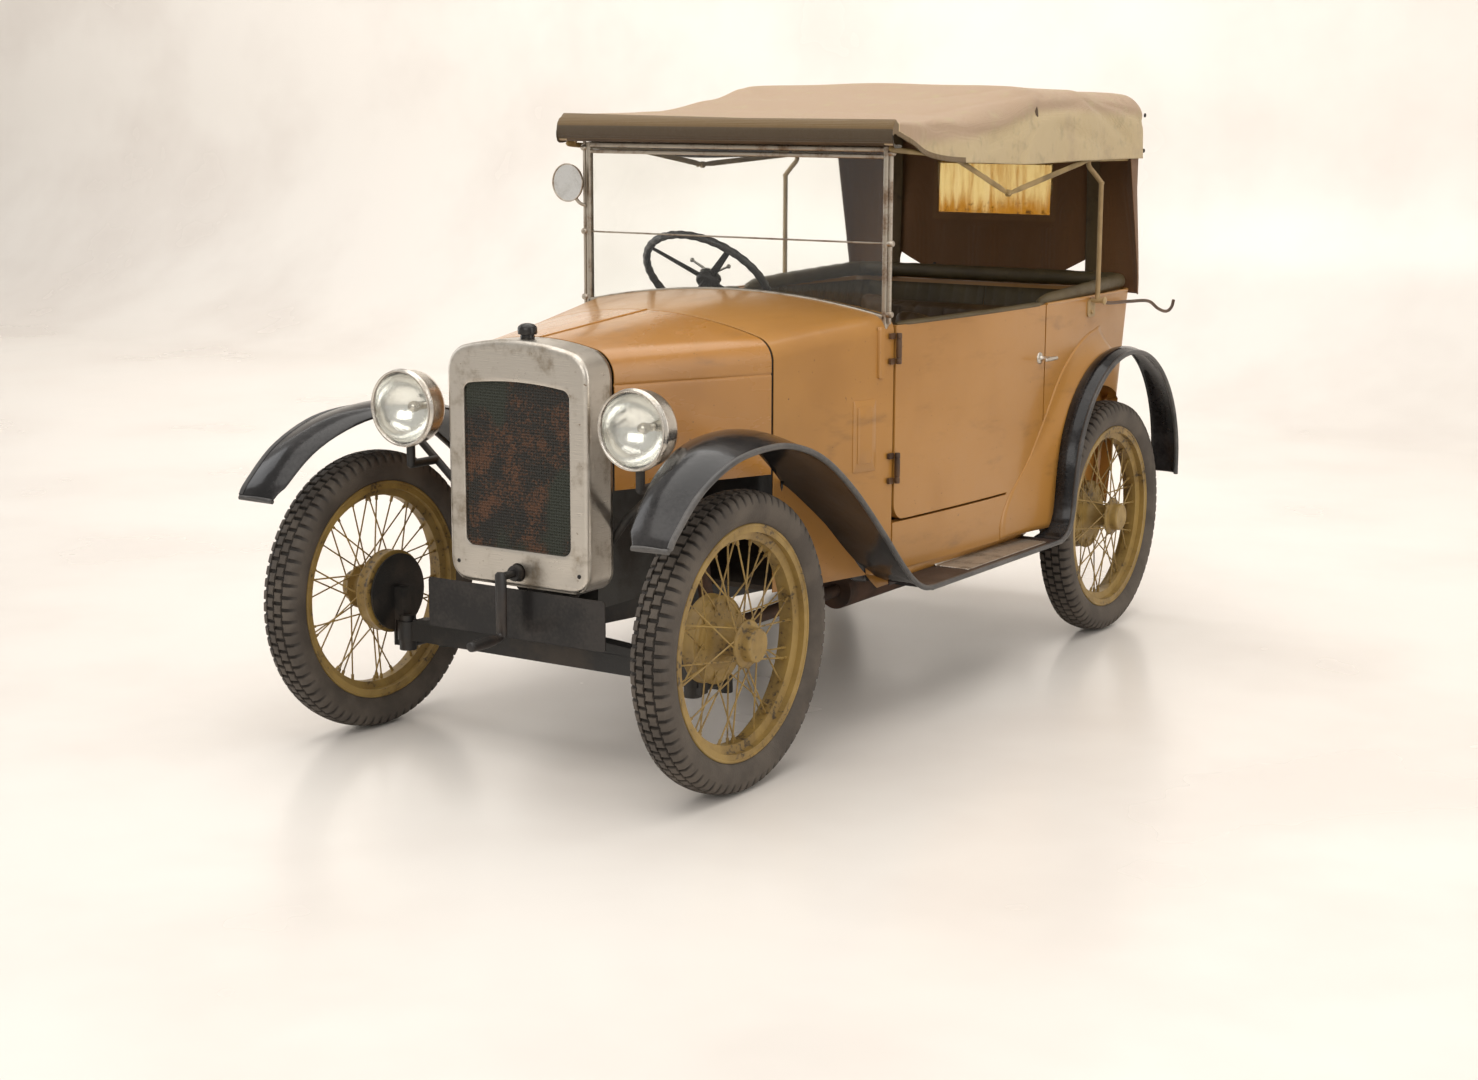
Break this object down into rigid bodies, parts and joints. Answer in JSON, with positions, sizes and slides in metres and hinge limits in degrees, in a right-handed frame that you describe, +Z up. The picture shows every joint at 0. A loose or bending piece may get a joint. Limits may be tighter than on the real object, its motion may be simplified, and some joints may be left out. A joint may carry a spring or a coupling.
{
  "type": "1920s touring car",
  "caption": "Small open four-seat touring car with hood raised, wire wheels, hinged doors and bonnet, and working steering.",
  "frame": {"origin": "on the ground under the middle of the car's overall length and width", "axes": "the car faces -Y, +X is its left-hand side, +Z is up"},
  "size_m": [1.176, 2.7352, 1.5279],
  "materials": {
    "body_paint": "worn semi-gloss ochre paint",
    "black_paint": "gloss black paint",
    "chassis_paint": "dull black paint with grime",
    "engine_iron": "oily cast iron",
    "nickel": "worn nickel plate",
    "radiator_matrix": "rusty brown core",
    "lamp_metal": "polished bright metal",
    "glass": "clear",
    "celluloid": "yellowed celluloid",
    "canvas": "faded tan canvas",
    "hood_iron": "khaki paint on iron",
    "trim": "dark olive brown leathercloth",
    "floor_boards": "dark matting on boards",
    "steering_black": "black composition rim",
    "wheel_paint": "khaki gold paint",
    "tyre": "dusty brown-grey rubber"
  },
  "bodies": {
    "car": {"scuttle": "body_paint", "side_left": "body_paint", "side_right": "body_paint", "back_panel": "body_paint", "front_wings": "black_paint", "rear_wings": "black_paint", "running_boards": "black_paint", "wing_stays": "black_paint", "starting_handle": "black_paint", "radiator_cap": "black_paint", "number_plates": "black_paint", "chassis_frame": "chassis_paint", "front_axle": "chassis_paint", "rear_axle": "chassis_paint", "springs": "chassis_paint", "steering_column": "chassis_paint", "exhaust": "chassis_paint", "engine_block": "engine_iron", "radiator_shell": "nickel", "windscreen_frame": "nickel", "mirror": "nickel", "radiator_core": "radiator_matrix", "headlamps": "lamp_metal", "windscreen_glass": "glass", "headlamp_lenses": "glass", "hood_window": "celluloid", "hood_canvas": "canvas", "hood_frame": "hood_iron", "front_seats": "trim", "rear_seat": "trim", "floor": "floor_boards", "seat_bases": "floor_boards", "spare_wheel": "wheel_paint", "spare_tyre": "tyre"},
    "door_left": {"door_left": "body_paint"},
    "door_right": {"door_right": "body_paint"},
    "bonnet_left": {"bonnet_left": "body_paint"},
    "bonnet_right": {"bonnet_right": "body_paint"},
    "steering_wheel": {"steering_wheel": "steering_black"},
    "knuckle_left": {"knuckle_left": "chassis_paint"},
    "knuckle_right": {"knuckle_right": "chassis_paint"},
    "track_rod": {"track_rod": "chassis_paint"},
    "front_left_wheel": {"wheel_front_left": "wheel_paint", "tyre_front_left": "tyre"},
    "front_right_wheel": {"wheel_front_right": "wheel_paint", "tyre_front_right": "tyre"},
    "rear_left_wheel": {"wheel_rear_left": "wheel_paint", "tyre_rear_left": "tyre"},
    "rear_right_wheel": {"wheel_rear_right": "wheel_paint", "tyre_rear_right": "tyre"}
  },
  "joints": [
    {"name": "steer_left", "type": "hinge", "parent": "car", "child": "knuckle_left", "pos_m": [0.405, -1.0225, 0.24], "axis": [0, 0, 1], "range_deg": [-28, 28]},
    {"name": "steer_right", "type": "hinge", "parent": "car", "child": "knuckle_right", "pos_m": [-0.405, -1.0225, 0.24], "axis": [0, 0, 1], "range_deg": [-28, 28]},
    {"name": "track_rod_eye", "type": "hinge", "parent": "knuckle_left", "child": "track_rod", "pos_m": [0.405, -0.8925, 0.204], "axis": [0, 0, 1], "range_deg": [-28, 28]},
    {"name": "steering_turn", "type": "hinge", "parent": "car", "child": "steering_wheel", "pos_m": [-0.232, -0.0195, 1.01], "axis": [0, 0.7071, 0.7071], "range_deg": [-226, 226]},
    {"name": "front_left_spin", "type": "hinge", "parent": "knuckle_left", "child": "front_left_wheel", "pos_m": [0.508, -1.0225, 0.328], "axis": [1, 0, 0], "continuous": true},
    {"name": "front_right_spin", "type": "hinge", "parent": "knuckle_right", "child": "front_right_wheel", "pos_m": [-0.508, -1.0225, 0.328], "axis": [1, 0, 0], "continuous": true},
    {"name": "rear_left_spin", "type": "hinge", "parent": "car", "child": "rear_left_wheel", "pos_m": [0.508, 0.8825, 0.328], "axis": [1, 0, 0], "continuous": true},
    {"name": "rear_right_spin", "type": "hinge", "parent": "car", "child": "rear_right_wheel", "pos_m": [-0.508, 0.8825, 0.328], "axis": [1, 0, 0], "continuous": true},
    {"name": "door_left_hinge", "type": "hinge", "parent": "car", "child": "door_left", "pos_m": [0.46337, -0.2325, 0.745], "axis": [0, 0, -1], "range_deg": [0, 70]},
    {"name": "door_right_hinge", "type": "hinge", "parent": "car", "child": "door_right", "pos_m": [-0.46337, -0.2325, 0.745], "axis": [0, 0, 1], "range_deg": [0, 70]},
    {"name": "bonnet_left_hinge", "type": "hinge", "parent": "car", "child": "bonnet_left", "pos_m": [0, -0.8225, 0.9675], "axis": [0, -0.9962, -0.0872], "range_deg": [0, 60]},
    {"name": "bonnet_right_hinge", "type": "hinge", "parent": "car", "child": "bonnet_right", "pos_m": [0, -0.8225, 0.9675], "axis": [0, 0.9962, 0.0872], "range_deg": [0, 60]}
  ],
  "couplings": [
    {"joint": "steer_right", "follows": "steer_left", "ratio": 1},
    {"joint": "track_rod_eye", "follows": "steer_left", "ratio": -1},
    {"joint": "steering_turn", "follows": "steer_left", "ratio": 8}
  ]
}
